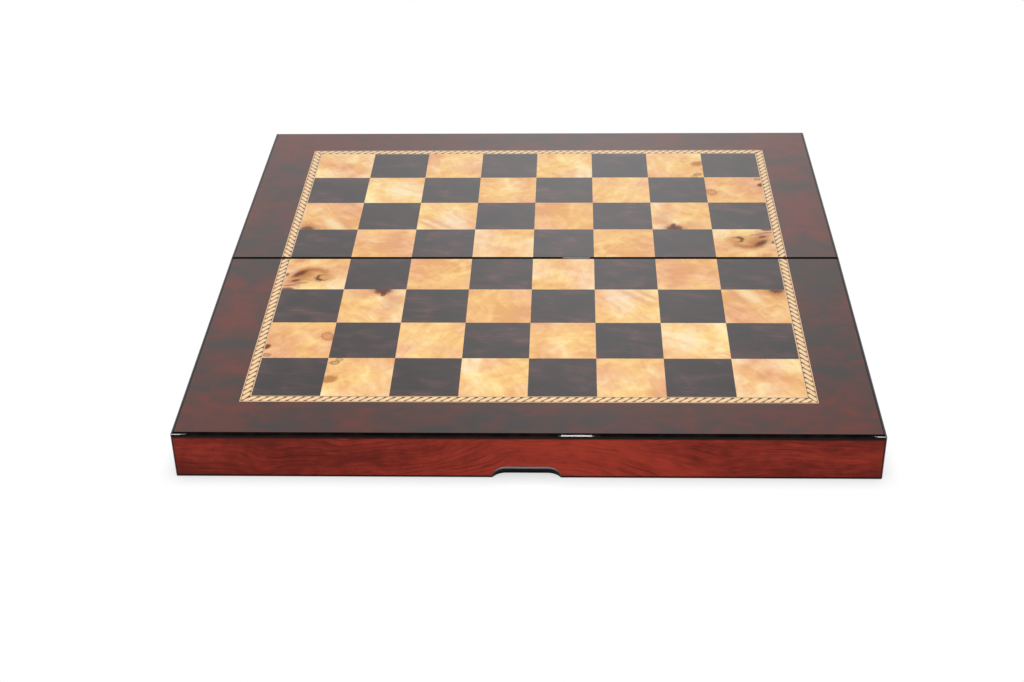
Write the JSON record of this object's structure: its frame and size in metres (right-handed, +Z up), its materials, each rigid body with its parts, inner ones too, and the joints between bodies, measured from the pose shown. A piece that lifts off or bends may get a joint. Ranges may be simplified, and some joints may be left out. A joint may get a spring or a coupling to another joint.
{
  "type": "folding chess board",
  "caption": "Folding chess board: two lacquered wooden trays on butt hinges whose backs join as the checkered playing field, with a burl border, rope inlay and finger scoops.",
  "frame": {"origin": "on the table under the middle of the hinge line, which is the centre of the open board", "axes": "+X to the right along the hinge line, +Y away from the front player, +Z up from the table"},
  "size_m": [0.4, 0.3966, 0.0318],
  "materials": {
    "rail_wood": "red rosewood veneer under gloss lacquer, rounded edges lacquered black",
    "panel_board": "raw fibreboard",
    "felt": "dense green felt",
    "border_veneer": "dark burl veneer under gloss lacquer",
    "rope_inlay": "two-tone rope inlay under gloss lacquer",
    "light_veneer": "pale burl veneer under gloss lacquer",
    "dark_veneer": "black-brown veneer under gloss lacquer",
    "brass": "polished",
    "pin_steel": "drawn wire",
    "magnet_nickel": "nickel plated"
  },
  "bodies": {
    "front_half": {"front_outer_rail": "rail_wood", "front_hinge_rail": "rail_wood", "front_left_rail": "rail_wood", "front_right_rail": "rail_wood", "front_deck_panel": "panel_board", "front_felt_lining": "felt", "front_border_veneer": "border_veneer", "front_rope_inlay": "rope_inlay", "front_light_squares": "light_veneer", "front_dark_squares": "dark_veneer", "front_magnets": "magnet_nickel", "front_hinge_screws": "brass", "left_hinge_front_leaf": "brass", "right_hinge_front_leaf": "brass", "left_hinge_pin": "pin_steel", "right_hinge_pin": "pin_steel"},
    "rear_half": {"rear_outer_rail": "rail_wood", "rear_hinge_rail": "rail_wood", "rear_left_rail": "rail_wood", "rear_right_rail": "rail_wood", "rear_deck_panel": "panel_board", "rear_felt_lining": "felt", "rear_border_veneer": "border_veneer", "rear_rope_inlay": "rope_inlay", "rear_light_squares": "light_veneer", "rear_dark_squares": "dark_veneer", "rear_magnets": "magnet_nickel", "rear_hinge_screws": "brass", "left_hinge_rear_leaf": "brass", "right_hinge_rear_leaf": "brass"}
  },
  "joints": [
    {"name": "fold", "type": "hinge", "parent": "front_half", "child": "rear_half", "pos_m": [0, 0, 0.0018], "axis": [-1, 0, 0], "range_deg": [-1.13, 178.87]}
  ]
}
